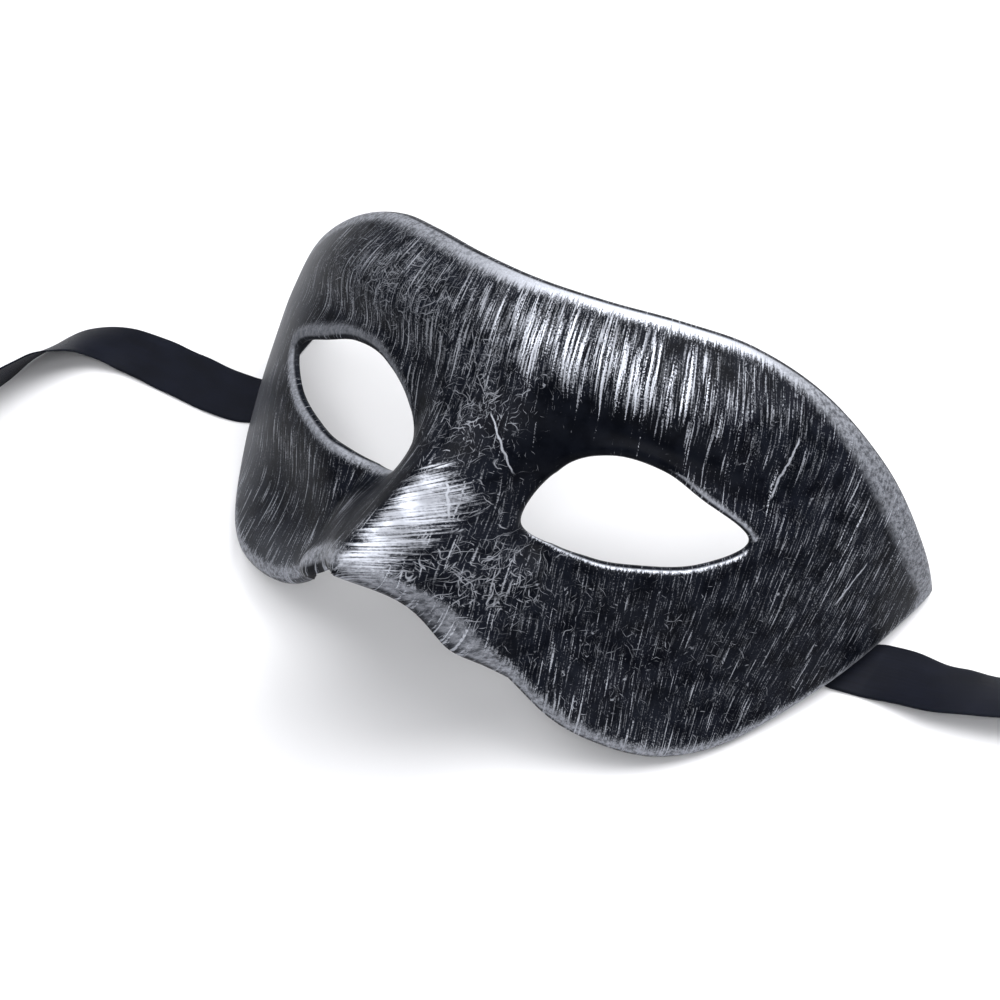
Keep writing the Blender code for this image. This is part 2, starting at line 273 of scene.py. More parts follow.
@dataclass(frozen=True)
class BrushedPlastic:
    """Near-black plastic, dry-brushed with silver paint."""

    base: Colour = (0.0010, 0.0016, 0.0038)
    haze: Colour = (0.010, 0.012, 0.019)
    bare_haze: Colour = (0.014, 0.015, 0.019)
    silver: Colour = (0.76, 0.79, 0.88)
    base_roughness: float = 0.42
    silver_roughness: float = 0.44
    bare_roughness: tuple[float, float] = (0.42, 0.62)
    silver_metallic: float = 0.50
    specular: float = 0.05
    paint_depth: float = 0.00006
    crossed_strength: float = 0.38
    hairline_strength: float = 0.40
    single_strength: float = 0.6
    crossing_deg: tuple[float, ...] = (-66.0, -30.0, 24.0, 58.0)

    # coarsest streaks in a millimetre, length in widths, seed
    HAIR = (3.2, 20.0, 2.0)
    MEDIUM = (1.9, 24.0, 5.0)
    COARSE = (1.00, 34.0, 1.0)
    SWEPT = (2.4, 16.0, 4.0)
    # swells in a millimetre round the head, times as many upward, seed
    HAIRLINES = ((0.62, 0.28, 17.9), (0.20, 2.6, 31.7))
    # across and up at the top, across and up at the foot
    SINGLE_SCRATCHES = (
        (4.0, 9.5, 11.4, -0.3), (4.0, -5.0, 7.0, -11.5), (62.0, 26.0, 60.5, 13.0), (88.0, 6.0, 84.0, -4.0),
    )

    def streaks(self, weave: Weave, place: Sock, per_mm: float, stretch: float, seed: float) -> Sock:
        """Make long thin streaks with finer ones between them.

        Args:
            weave: the material's tree.
            place: the places across and along the streaks, in millimetres.
            per_mm: the coarsest streaks in a millimetre.
            stretch: how many times longer than wide a streak is.
            seed: sets this layer apart from the others.

        Returns:
            A value about 0.5 on average.
        """
        across, along, _ = weave.split(place)
        sway = weave.noise(weave.join(across * 0.12, along * 0.10, seed), 1.0, 1.0) - 0.5
        spot = weave.join((across + sway * 0.5) * per_mm, along * (per_mm / stretch), seed + 3.1)
        return weave.noise(spot, 1.0, 2.0, 0.55)

    def painted(self, streaks: Sock, amount: Sock, softness: float) -> Sock:
        """Return the paint that an amount, from 0 to 1, leaves on the streaks."""
        level = 0.78 - amount * 0.50
        return streaks.rises(level, level + softness)

    def crossed(self, weave: Weave, place: Sock, amount: Sock) -> Sock:
        """Lay thin scratches that cross each other at a few angles.

        Args:
            weave: the material's tree.
            place: the pattern coordinates in millimetres.
            amount: how many there are, from 0 to 1.

        Returns:
            The paint, from 0 to 1.
        """
        u, v, _ = weave.split(place)
        drift = (weave.noise(place, 0.22, 2.0) - 0.5) * 4.0
        laid = None
        for number, degrees in enumerate(self.crossing_deg):
            turn = math.radians(degrees)
            across = u * math.cos(turn) + v * math.sin(turn) + drift
            turned = weave.join(across, v * math.cos(turn) - u * math.sin(turn) + drift)
            marks = self.painted(self.streaks(weave, turned, 3.0, 15.0, 20.0 + 4 * number), amount, 0.08)
            laid = marks if laid is None else laid.larger(marks)
        return laid

    def hairlines(self, weave: Weave, place: Sock, per_mm: float, stretch: float, amount: Sock,
                  seed: float) -> Sock:
        """Lay thin curling scratches along the level lines of a noise.

        Args:
            weave: the material's tree.
            place: the pattern coordinates in millimetres.
            per_mm: the noise's swells in a millimetre, round the head.
            stretch: how many times as many lie in a millimetre of height.
            amount: how much of each line is left, from 0 to 1.
            seed: sets this layer apart from the others.

        Returns:
            The paint, from 0 to 1.
        """
        u, v, _ = weave.split(place)
        swell = weave.noise(weave.join(u * per_mm, v * (per_mm * stretch), seed), 1.0, 0.6, 0.5)
        breaks = weave.noise(weave.join(u * 0.5, v * 0.5, seed + 7.3), 1.0, 1.0)
        line = 1.0 - abs(swell - 0.5).rises(0.003, 0.015)
        return line * (breaks + amount).rises(0.70, 0.80)

    def single(self, weave: Weave, place: Sock, scratch: tuple[float, float, float, float]) -> Sock:
        """Lay one long thin scratch.

        Args:
            weave: the material's tree.
            place: the pattern coordinates in millimetres.
            scratch: the places across and up of its top and of its foot.

        Returns:
            The paint, from 0 to 1.
        """
        top_u, top_v, foot_u, foot_v = scratch
        u, v, _ = weave.split(place)
        sway = (weave.noise(place, 0.5, 2.0) - 0.5) * 1.2
        line_u = (v - top_v) * ((foot_u - top_u) / (foot_v - top_v)) + top_u
        thin = 1.0 - abs(u + sway - line_u).rises(0.08, 0.30)
        return thin * v.rises(foot_v - 0.5, foot_v + 0.8) * (1.0 - v.rises(top_v - 0.8, top_v + 0.5))

    def brushed(self, weave: Weave, grain: Grain) -> Sock:
        """Lay the brush strokes, from the boldest to the finest, and the sweep down the nose.

        Args:
            weave: the material's tree.
            grain: the noises that break the paint up.

        Returns:
            The paint, from 0 to 1.
        """
        bold, middle, fine, far_reflection, sweep = (
            weave.attribute(name) for name in ("bold", "middle", "fine", "far_reflection", "sweep")
        )
        broken = (grain.hair - 0.5) * 0.32 + (grain.speckle - 0.5) * 0.42
        bold_paint = self.painted(grain.coarse + broken, bold, 0.07)
        bold_paint = bold_paint * (grain.medium.rises(0.38, 0.58) * 0.5 + 0.5)
        middle_paint = self.painted(grain.medium + broken, middle, 0.10) * (grain.patches * 0.30 + 0.32)
        fine_paint = self.painted(grain.hair * 0.62 + grain.speckle * 0.38, fine, 0.16)
        fine_paint = fine_paint * (grain.patches * 0.24 + 0.14)
        # painted reflection: a faint grey sheet over the far temple and far lobe, standing in for the
        # reflection that greys the far side
        far_reflection_paint = (grain.hair * 0.6 + grain.speckle * 0.8) * far_reflection
        sweep_paint = self.painted(grain.swept * 0.72 + grain.speckle * 0.28, sweep, 0.24)
        sweep_paint = sweep_paint * (grain.patches * 0.40 + 0.42)
        return bold_paint.larger(middle_paint).larger(fine_paint).larger(far_reflection_paint).larger(sweep_paint)

    def scratched(self, weave: Weave, place: Sock) -> Sock:
        """Lay the crossing, the curling and the single scratches.

        Args:
            weave: the material's tree.
            place: the pattern coordinates in millimetres.

        Returns:
            The paint, from 0 to 1.
        """
        mess = weave.attribute("mess")
        scratches = self.crossed(weave, place, mess * 1.25) * self.crossed_strength
        for per_mm, stretch, seed in self.HAIRLINES:
            lines = self.hairlines(weave, place, per_mm, stretch, mess - 0.07, seed)
            scratches = scratches.larger(lines * self.hairline_strength)
        for scratch in self.SINGLE_SCRATCHES:
            scratches = scratches.larger(self.single(weave, place, scratch) * self.single_strength)
        return scratches

    def rim_band(self, weave: Weave, grain: Grain) -> Sock:
        """Lay the mottled band inside the outer edge.

        Args:
            weave: the material's tree.
            grain: the noises that break the paint up.

        Returns:
            The paint, from 0 to 1.
        """
        gap, start, width, tone, rough = (
            weave.attribute(name) for name in ("rim_gap", "rim_start", "rim_width", "rim_tone", "rim_rough")
        )
        band = 1.0 - (gap + grain.ragged() * rough).rises(width * 0.75, width * 1.15)
        band = band * (gap - start).rises(0.0, 0.6) * (grain.speckle * 1.3 + 0.35) * tone
        return band * (tone.rises(0.35, 0.70) * (1.0 - grain.mottle) + grain.mottle)

    def lip_band(self, weave: Weave, grain: Grain) -> Sock:
        """Lay the narrow band round the eye holes.

        Args:
            weave: the material's tree.
            grain: the noises that break the paint up.

        Returns:
            The paint, from 0 to 1.
        """
        gap, width, tone, rim_rough, rough = (
            weave.attribute(name) for name in ("lip_gap", "lip_width", "lip_tone", "rim_rough", "lip_rough")
        )
        ragged = grain.ragged() * rim_rough * rough
        band = 1.0 - (gap + ragged).rises(width * 0.7, width * 1.4)
        band = band * gap.rises(0.25, 0.7) * width.rises(0.05, 0.5)
        return band * (grain.mottle * 0.7 + 0.4) * tone

    def outside(self) -> bpy.types.Material:
        """Make the painted outer face, with its density from the mesh's attributes.

        Returns:
            The material.
        """
        weave = Weave("brushed_plastic")
        place = weave.attribute("pattern_place", "Vector")
        strokes = weave.attribute("stroke_place", "Vector")
        grain = Grain(
            hair=self.streaks(weave, strokes, *self.HAIR),
            medium=self.streaks(weave, strokes, *self.MEDIUM),
            coarse=self.streaks(weave, strokes, *self.COARSE),
            swept=self.streaks(weave, weave.attribute("fan_place", "Vector"), *self.SWEPT),
            speckle=weave.noise(place, 2.6, 3.0, 0.7),
            patches=weave.noise(place, 0.20, 3.0, 0.6).rises(0.34, 0.62),
            mottle=weave.noise(place, 0.9, 4.0, 0.75).rises(0.36, 0.62) * 0.75 + 0.25,
        )
        paint = self.brushed(weave, grain).larger(self.scratched(weave, place)) * weave.attribute("film")
        paint = paint.larger(self.rim_band(weave, grain)).larger(self.lip_band(weave, grain)).clamped()
        plastic = weave.blend(grain.patches * weave.attribute("fine"), self.base, self.haze)
        roughness = weave.between(paint, self.base_roughness, self.silver_roughness)
        shader = {
            "Base Color": weave.blend(paint, plastic, self.silver),
            "Roughness": roughness + (grain.speckle - 0.5) * 0.16,
            "Metallic": paint * self.silver_metallic,
            "Specular IOR Level": self.specular,
        }
        return weave.finish(shader, paint * 0.8 + grain.speckle * 0.2, self.paint_depth)

    def inside(self) -> bpy.types.Material:
        """Make the bare inner face and the cut edge, with a faint moulding grain.

        Returns:
            The material.
        """
        weave = Weave("bare_plastic")
        place = weave.attribute("pattern_place", "Vector")
        grain = weave.noise(place, 1.4, 4.0, 0.6)
        cloud = weave.noise(place, 0.09, 3.0)
        shader = {
            "Base Color": weave.blend(cloud.rises(0.3, 0.7), self.base, self.bare_haze),
            "Roughness": weave.between(grain, *self.bare_roughness),
            "Specular IOR Level": self.specular,
        }
        return weave.finish(shader, grain, self.paint_depth)


@dataclass(frozen=True)
class BlackSatin:
    """Woven black satin ribbon with a selvage along both edges."""

    dark: Colour = (0.0022, 0.0029, 0.0062)
    light: Colour = (0.0058, 0.0074, 0.0150)
    sheen_tint: Colour = (0.55, 0.60, 0.80)
    sheen: float = 0.02
    sheen_roughness: float = 0.35
    roughness: tuple[float, float] = (0.36, 0.52)
    selvage_roughness: float = 0.12
    specular: float = 0.10
    threads_per_mm: float = 5.0
    thread_depth: float = 0.00004

    def material(self) -> bpy.types.Material:
        """Make the satin, from the mesh's coordinates along and across the ribbon in millimetres.

        Returns:
            The material.
        """
        weave = Weave("black_satin")
        along, across, edge = weave.split(weave.attribute("ribbon_place", "Vector"))
        rate = math.tau * self.threads_per_mm
        weft = (along * rate + (across * (rate * 0.2)).sine()).sine()
        warp = (across * rate).sine()
        selvage = 1.0 - edge.rises(0.25, 0.75)
        threads = (weft * 0.3 + warp * (selvage * 0.5 + 0.2)) + 0.5
        streaks = weave.noise(weave.join(along * 0.08, across * 2.2, 4.0), 1.0, 3.0, 0.6)
        cloud = weave.noise(weave.join(along * 0.10, across * 0.16, 9.0), 1.0, 2.0)
        colour = weave.blend((streaks * 0.6 + cloud * 0.6).rises(0.35, 0.85), self.dark, self.light)
        shader = {
            "Base Color": colour,
            "Roughness": weave.between(streaks, *self.roughness) + selvage * self.selvage_roughness,
            "Specular IOR Level": self.specular,
            "Sheen Weight": self.sheen,
            "Sheen Roughness": self.sheen_roughness,
            "Sheen Tint": _with_alpha(self.sheen_tint),
        }
        return weave.finish(shader, (threads + streaks * 0.5).clamped(), self.thread_depth)


@dataclass(frozen=True)
class PaleTable:
    """Plain pale table top."""

    colour: Colour = (0.88, 0.88, 0.90)
    roughness: tuple[float, float] = (0.55, 0.65)

    def material(self) -> bpy.types.Material:
        """Make the table's finish, with a faint cloudiness in its gloss.

        Returns:
            The material.
        """
        weave = Weave("pale_table")
        place = weave.node("ShaderNodeTexCoord", {}, {})["Object"]
        cloud = weave.noise(place, 9.0, 2.0)
        shader = {"Base Color": _with_alpha(self.colour), "Roughness": weave.between(cloud, *self.roughness)}
        return weave.finish(shader, None, 0.0)


def catmull_rom(rows: np.ndarray, steps: int, first: np.ndarray | None = None,
                last: np.ndarray | None = None) -> np.ndarray:
    """Run a smooth curve through rows of numbers, column by column.

    Args:
        rows: the rows that the curve passes through.
        steps: steps between one row and the next.
        first: a row before the first one, or None for a straight start.
        last: a row after the last one, or None for a straight end.

    Returns:
        The curve's rows.
    """
    first = 2 * rows[0] - rows[1] if first is None else first
    last = 2 * rows[-1] - rows[-2] if last is None else last
    rows = np.vstack([first, rows, last])
    share = np.linspace(0, 1, steps, endpoint=False)[:, None]
    spans = []
    for before, start, end, after in zip(rows, rows[1:], rows[2:], rows[3:]):
        pull, push = (end - before) / 2, (after - start) / 2
        spans.append(
            start * (2 * share**3 - 3 * share**2 + 1) + pull * (share**3 - 2 * share**2 + share)
            + end * (3 * share**2 - 2 * share**3) + push * (share**3 - share**2)
        )
    return np.vstack(spans + [rows[-2]])


def evened(curve: np.ndarray, steps: int) -> np.ndarray:
    """Return the curve with its points at even distances.

    Args:
        curve: the points of a finely stepped curve.
        steps: the number of even steps.

    Returns:
        The evenly spaced points.
    """
    run = np.concatenate([[0], np.cumsum(np.linalg.norm(np.diff(curve, axis=0), axis=1))])
    even = np.linspace(0, run[-1], steps + 1)
    return np.stack([np.interp(even, run, column) for column in curve.T], axis=1)


def line_distance(points: np.ndarray, line: np.ndarray) -> np.ndarray:
    """Return each pattern point's shortest distance to a run of straight steps.

    Args:
        points: pattern points, one a row.
        line: the run's corners, one a row.

    Returns:
        The distances.
    """
    best = np.full(len(points), np.inf)
    for start, end in zip(line, line[1:]):
        step = end - start
        share = np.clip((points - start) @ step / (step @ step), 0, 1)
        best = np.minimum(best, np.linalg.norm(points - start - share[:, None] * step, axis=1))
    return best


def quads_between(rows: np.ndarray, following: np.ndarray) -> np.ndarray:
    """Return the faces between rows of point numbers and the rows that follow them.

    Args:
        rows: point numbers, one run of points a row.
        following: for each row, the numbers of the next run.

    Returns:
        Four point numbers a face.
    """
    corners = [rows[:, :-1], following[:, :-1], following[:, 1:], rows[:, 1:]]
    return np.stack(corners, axis=2).reshape(-1, 4)


def smooth_rise(value: np.ndarray, low: float, high: float) -> np.ndarray:
    """Return a smooth step from 0 at the low value to 1 at the high one."""
    share = np.clip((value - low) / (high - low), 0, 1)
    return share * share * (3 - 2 * share)


@dataclass(frozen=True)
class Patch:
    """A soft patch on the pattern, in millimetres round the head and above the eye line."""

    across: float
    height: float
    spread_across: float
    spread_up: float
    amount: float = 1.0

    def over(self, u: np.ndarray, v: np.ndarray) -> np.ndarray:
        """Return the patch's amount at each place, which falls to 0 away from its middle."""
        beside, above = (u - self.across) / self.spread_across, (v - self.height) / self.spread_up
        return self.amount * np.exp(-(beside**2 + above**2))


def patched(patches: Sequence[Patch], u: np.ndarray, v: np.ndarray) -> np.ndarray:
    """Return the sum of several patches at each place."""
    return sum(patch.over(u, v) for patch in patches)


@dataclass(frozen=True)
class PaintPlan:
    """How much paint of each kind lies where, in millimetres round the head and above the eye line.

    A pair of numbers gives the two values between which a smooth step rises from 0 to 1.
    """

    forehead: tuple[Patch, ...] = (Patch(26, 27, 26, 11), Patch(2, 28, 12, 9, 0.5))
    socket: tuple[Patch, ...] = (Patch(19, 7, 12, 7), Patch(36, 15, 20, 4, 0.8))
    temple: Patch = Patch(86, 8, 26, 20)
    cheek: Patch = Patch(36, -30, 30, 12)
    far_brow: Patch = Patch(-32, 26, 26, 12)
    # the far lobe, where a painted reflection lies
    far_lobe: Patch = Patch(-34, -42, 24, 7)
    nose_foot: Patch = Patch(13, -31, 9, 8)
    # where the rim's paint is brighter: a painted highlight along the top edge
    rim_highlight: Patch = Patch(22, 38, 30, 8)
    middle_patches: tuple[Patch, ...] = (Patch(45, 14, 6, 5, 0.26), Patch(-30, 24, 22, 11, 0.06))
    mess_patches: tuple[Patch, ...] = (
        Patch(2, 9, 12, 13, 0.16), Patch(14, -20, 12, 11, 0.15), Patch(48, -25, 34, 14, 0.07),
        Patch(-32, 26, 26, 12, 0.17),
    )
    near_side: tuple[float, float] = (-8, 6)
    bold_start: tuple[float, float] = (-1, 1.5)
    low_edge: tuple[float, float] = (15, 28)
    edge_fade: float = 7.0
    # the far temple, where a painted reflection greys the edge
    far_temple: tuple[float, float] = (52, 80)
    sweep_far_side: tuple[float, float] = (-4.5, 2.5)
    sweep_near_side: tuple[float, float] = (-6.5, 4.5)
    sweep_top: tuple[float, float] = (-4.5, 7.0)
    sweep_reach: float = 10.6
    side_band_across: tuple[float, float] = (52, 92)
    side_band_up: tuple[float, float] = (-4, 4)
    outer_lid: tuple[float, float] = (34, 50)
    fan_centre: tuple[float, float] = (-22.0, -30.0)
    fan_radius: float = 35.0
    eye_middle: tuple[float, float] = (38.0, -3.0)

    def strokes(self, u: np.ndarray, v: np.ndarray, edge_mm: np.ndarray,
                top_mm: np.ndarray) -> dict[str, np.ndarray]:
        """Say how dense each kind of stroke is.

        Args:
            u: places round the head.
            v: heights.
            edge_mm: each place's distance to the outer edge.
            top_mm: the upper edge's height there.

        Returns:
            The densities, by attribute name.
        """
        near = smooth_rise(u, *self.near_side)
        forehead = np.clip(patched(self.forehead, u, v), 0, 1)
        socket = np.clip(patched(self.socket, u, v), 0, 1)
        temple, cheek = self.temple.over(u, v), self.cheek.over(u, v)
        bold = 0.53 * forehead * smooth_rise(top_mm - v, *self.bold_start) + 0.22 * temple
        middle = (0.30 + 0.21 * forehead + 0.10 * temple - 0.01 * cheek) * (1 - 0.8 * socket)
        middle = middle + 0.16 * np.exp(-edge_mm / self.edge_fade) * smooth_rise(-v, *self.low_edge)
        middle = middle + patched(self.middle_patches, u, v) + 0.06 * (1 - near) - 0.06 * temple
        fine = 0.49 + 0.14 * forehead + 0.05 * temple + 0.09 * self.far_brow.over(u, v)

        far_reach = self.sweep_reach - 0.20 * np.abs(v + 8) - 3.0 * smooth_rise(v, -6, 0)
        reach = smooth_rise(u, *self.sweep_far_side) * (1 - smooth_rise(u - far_reach, *self.sweep_near_side))
        sweep = 0.94 * reach * smooth_rise(-v, *self.sweep_top)
        # painted reflection: grey on the far lobe here, and on the far temple below
        far_lobe_reflection = 0.14 * (1 - near) * self.far_lobe.over(u, v)
        return {
            "bold": np.clip(bold, 0, 1) * (1 - 0.9 * socket),
            "middle": middle,
            "fine": fine * (1 - 0.6 * socket),
            "mess": 0.11 + patched(self.mess_patches, u, v) - 0.08 * socket,
            "sweep": sweep,
            "far_reflection": 0.22 * smooth_rise(-u, *self.far_temple) + far_lobe_reflection,
            "film": (0.76 + 0.24 * np.clip(forehead + sweep, 0, 1)) * (0.85 + 0.15 * near),
        }

    def bands(self, u: np.ndarray, v: np.ndarray, eye_slant: float) -> dict[str, np.ndarray]:
        """Say how wide, bright and ragged the bands along the rim and round the eyes are.

        Args:
            u: places round the head.
            v: heights.
            eye_slant: the rise of the eye hole's long axis.

        Returns:
            The bands' values, by attribute name.
        """
        around, far = np.abs(u), 1 - smooth_rise(u, *self.near_side)
        foot = self.nose_foot.over(u, v) * (u > 0)
        side = smooth_rise(around, *self.side_band_across) * smooth_rise(v, *self.side_band_up)
        # partly paint, partly a painted highlight: the rim band's tone rises near the top
        bright = self.rim_highlight.over(u, v) * (1 - side)
        above_eye = v - self.eye_middle[1] - eye_slant * (around - self.eye_middle[0])
        below_eye = smooth_rise(-above_eye, 0.5, 3.0)
        outer_lid = smooth_rise(around, *self.outer_lid) * smooth_rise(above_eye, -1, 1)
        return {
            "rim_width": 2.6 + 0.9 * smooth_rise(v, -5, 10) + 4.8 * side + 0.3 * foot + 0.8 * far,
            "rim_tone": 0.40 + 0.58 * bright - 0.10 * side - 0.20 * foot,
            "rim_start": 0.35 + 0.85 * smooth_rise(v, 0, 8) - 0.45 * foot,
            "rim_rough": 1.0 - 0.65 * side - 0.45 * foot,
            "lip_width": 0.75 * below_eye + 1.1 * outer_lid + far * (1.6 - 0.4 * below_eye),
            "lip_tone": (0.50 + 0.50 * below_eye) * (1 - 0.62 * far),
            "lip_rough": 0.30 + 0.45 * far,
        }

    def directions(self, u: np.ndarray, v: np.ndarray) -> dict[str, np.ndarray]:
        """Return the coordinates across and along the strokes, and round and along the nose's sweep."""
        lean = 0.17 - 0.32 * smooth_rise(u, 48, 88) - 0.10 * smooth_rise(-u, 5, 40)
        fan_u, fan_v = u - self.fan_centre[0], v - self.fan_centre[1]
        fan = (np.arctan2(fan_v, fan_u) * self.fan_radius, np.hypot(fan_u, fan_v), 0 * u)
        return {
            "stroke_place": np.stack([u + (v - 12) * lean, v, 0 * u], axis=1),
            "fan_place": np.stack(fan, axis=1),
        }


@dataclass
class MaskShell:
    """The moulded shell, with the source's own sizes in metres and a finer mesh."""

    half_width: float = 0.0880
    wrap_depth: float = 0.0780
    top_taper: float = 0.245
    cheek_taper: float = 0.02
    level_band: float = 0.0085
    taper_reach: float = 0.0480
    temple_reach: float = 0.1218
    brow_height: float = 0.0408
    temple_height: float = 0.0027
    cheek_drop: float = 0.0475
    wall: float = 0.0011
    rim_radius: float = 0.0032
    lip_radius: float = 0.0020
    eye_centre: tuple[float, float] = (0.0380, -0.0031)
    eye_slant_deg: float = 16.5
    eye_half_length: float = 0.0228
    eye_rise: float = 0.0159
    nose_forward: float = 0.0386
    nose_bridge_height: float = 0.0061
    nose_tip_drop: float = 0.0236
    nose_half_width: float = 0.0266
    nose_bridge_share: float = 0.66
    nose_bridge_softness: float = 0.22
    nose_ridge_softness: float = 0.07
    nose_flank_power: float = 1.4
    pitch_deg: float = 46.96437
    rest_place: tuple[float, float, float] = (0.0, -0.00430622, 0.05027260)
    outer_steps: int = 210
    centre_steps: int = 46
    eye_steps: int = 384
    face_rings: int = 38
    edge_rings: tuple[float, ...] = (0.0, 0.05, 0.13, 0.25, 0.40, 0.58, 0.78)
    hole_share_at_top: float = 0.40
    hole_share_at_nose: float = 0.55
    curve_steps: int = 24

    # name, across, height, spread across, spread up, push out
    FORMS = (
        ("eye_socket", 0.0193, 0.0075, 0.0096, 0.0086, -0.0023),
        ("brow_ridge", 0.0364, 0.0257, 0.0278, 0.0086, 0.0023),
        ("lid_hollow", 0.0385, 0.0150, 0.0235, 0.0054, -0.0029),
        ("nose_side", 0.0182, -0.0073, 0.0086, 0.0096, -0.0093),
        ("cheek_hollow", 0.0470, -0.0278, 0.0214, 0.0128, -0.0047),
        ("nostril_side", 0.0110, -0.0290, 0.0070, 0.0060, -0.0035),
        ("nostril_wing", 0.0190, -0.0370, 0.0088, 0.0090, 0.0062),
    )
    # share of temple reach, share of brow height
    UPPER_EDGE = (
        (0.00, 0.947), (0.13, 0.963), (0.27, 0.997), (0.41, 1.000),
        (0.56, 0.900), (0.71, 0.670), (0.86, 0.355), (0.975, 0.130),
    )
    # share of temple reach, share of cheek drop
    LOWER_EDGE = (
        (0.985, 0.000), (0.88, 0.20), (0.75, 0.505), (0.61, 0.815), (0.49, 0.963),
        (0.37, 0.985), (0.27, 0.932), (0.17, 0.770), (0.08, 0.600),
    )
    # share of half length, share of rise
    EYE_EDGE = (
        (1.00, 0.00), (0.56, 0.52), (0.22, 0.86), (-0.25, 1.00), (-0.70, 0.74),
        (-1.00, 0.00), (-0.42, -0.33), (0.00, -0.40), (0.55, -0.34),
    )

    def relief(self, across: np.ndarray, height: np.ndarray) -> np.ndarray:
        """Return how far the face stands out of its plan curve.

        Args:
            across: places across the face.
            height: heights above the eye line.

        Returns:
            The push outward.
        """
        run = (self.nose_bridge_height - height) / (self.nose_bridge_height + self.nose_tip_drop)
        rise = (run + np.hypot(run, self.nose_bridge_softness)) / 2
        widening = self.nose_bridge_share + (1 - self.nose_bridge_share) * np.clip(run, 0, 1)
        flank = np.hypot(across / (self.nose_half_width * widening), self.nose_ridge_softness)
        push = self.nose_forward * rise * np.maximum(1 - flank, 0) ** self.nose_flank_power
        for _name, centre, level, spread_across, spread_up, amount in self.FORMS:
            away = ((np.abs(across) - centre) / spread_across) ** 2 + ((height - level) / spread_up) ** 2
            push = push + amount * np.exp(-away)
        return push

    def face(self, places: np.ndarray) -> np.ndarray:
        """Return the points of the outer face, as worn.

        Args:
            places: lengths round the head and heights, one pair a row.

        Returns:
            The points, one a row.
        """
        along, height = places[:, 0], places[:, 1]
        turn = along / ((self.half_width + self.wrap_depth) * math.pi / 4) * math.pi / 2
        across = self.half_width * np.sin(turn)
        back = self.wrap_depth * (1 - np.cos(turn))
        outward = (self.wrap_depth * np.sin(turn), -self.half_width * np.cos(turn), 0 * turn)
        outward = np.stack(outward, axis=1)
        outward /= np.linalg.norm(outward, axis=1)[:, None]
        above = np.maximum(height - self.level_band, 0) / self.taper_reach
        below = np.maximum(-height - self.level_band, 0) / self.taper_reach
        taper = 1 - self.top_taper * above**2 - self.cheek_taper * below**2
        plan = np.stack([across * taper, self.wrap_depth + (back - self.wrap_depth) * taper, height], axis=1)
        return plan + outward * self.relief(across, height)[:, None]

    def normals(self, places: np.ndarray, step: float = 0.00025) -> np.ndarray:
        """Return the outward normals of the outer face.

        Args:
            places: lengths round the head and heights, one pair a row.
            step: how far apart the face is read.

        Returns:
            The unit normals, one a row.
        """
        level = self.face(places + (step, 0)) - self.face(places - (step, 0))
        upward = self.face(places + (0, step)) - self.face(places - (0, step))
        normal = np.cross(level, upward)
        return normal / np.linalg.norm(normal, axis=1)[:, None]

    def outer_edge(self) -> np.ndarray:
        """Return the right half's free edge, from the top centre round the temple to the nose tip."""
        upper = np.array(self.UPPER_EDGE) * (self.temple_reach, self.brow_height)
        lower = np.array(self.LOWER_EDGE) * (self.temple_reach, -self.cheek_drop)
        corner, tip = (self.temple_reach, self.temple_height), (0.0, -self.nose_tip_drop)
        rows = np.vstack([upper, corner, lower, tip])
        return evened(catmull_rom(rows, self.curve_steps, first=upper[1] * (-1, 1)), self.outer_steps)

    def eye_edge(self) -> np.ndarray:
        """Return the right eye hole's closed edge, with its first point again at the end."""
        slant = math.radians(self.eye_slant_deg)
        axes = np.array([[math.cos(slant), math.sin(slant)], [-math.sin(slant), math.cos(slant)]])
        rows = np.array(self.EYE_EDGE) * (self.eye_half_length, self.eye_rise) @ axes + self.eye_centre
        curve = catmull_rom(np.vstack([rows, rows[:1]]), self.curve_steps, first=rows[-1], last=rows[1])
        return evened(curve, self.eye_steps)

    def rolled(self, distance: np.ndarray, radius: float) -> np.ndarray:
        """Return how far a quarter-round edge lies behind the face at a distance from the edge."""
        inset = radius - np.minimum(distance, radius)
        return radius - np.sqrt(radius**2 - inset**2)

    def spokes(self) -> tuple[np.ndarray, np.ndarray, np.ndarray]:
        """Lay the right half's grid from the eye hole to the outer edge.

        Returns:
            The grid's pattern places (spoke, ring, 2), and the outer and eye edges.
        """
        edge, hole = self.outer_edge(), self.eye_edge()
        rings = np.array(self.edge_rings[1:]) * self.rim_radius
        tip, top = edge[-1, 1], edge[0, 1]
        inner = np.linspace(tip + self.rim_radius, top - self.rim_radius, self.centre_steps + 1)
        centre = np.concatenate([tip + rings, inner, top - rings[::-1]])
        tips = np.vstack([edge, np.stack([0 * centre, centre], axis=1)])
        temple = int(tips[:, 0].argmax())
        matched = [0, temple, self.outer_steps, len(tips)]
        shares = np.interp(
            np.arange(len(tips)), matched,
            [self.hole_share_at_top, 0.0, self.hole_share_at_nose - 1, self.hole_share_at_top - 1],
        ) % 1.0
        even = np.linspace(0, 1, self.eye_steps + 1)
        roots = np.stack([np.interp(shares, even, column) for column in hole.T], axis=1)
        length = np.linalg.norm(tips - roots, axis=1)[:, None]
        lip = self.lip_radius * np.array(self.edge_rings) / length
        rim = 1 - self.rim_radius * np.array(self.edge_rings[::-1]) / length
        start, end = self.lip_radius / length, 1 - self.rim_radius / length
        face = start + (end - start) * np.linspace(0, 1, self.face_rings)
        share = np.hstack([lip, face, rim])[:, :, None]
        grid = roots[:, None] + (tips - roots)[:, None] * share
        grid[self.outer_steps:, -1, 0] = 0.0
        grid[0, -1, 0] = 0.0
        return grid, edge, hole

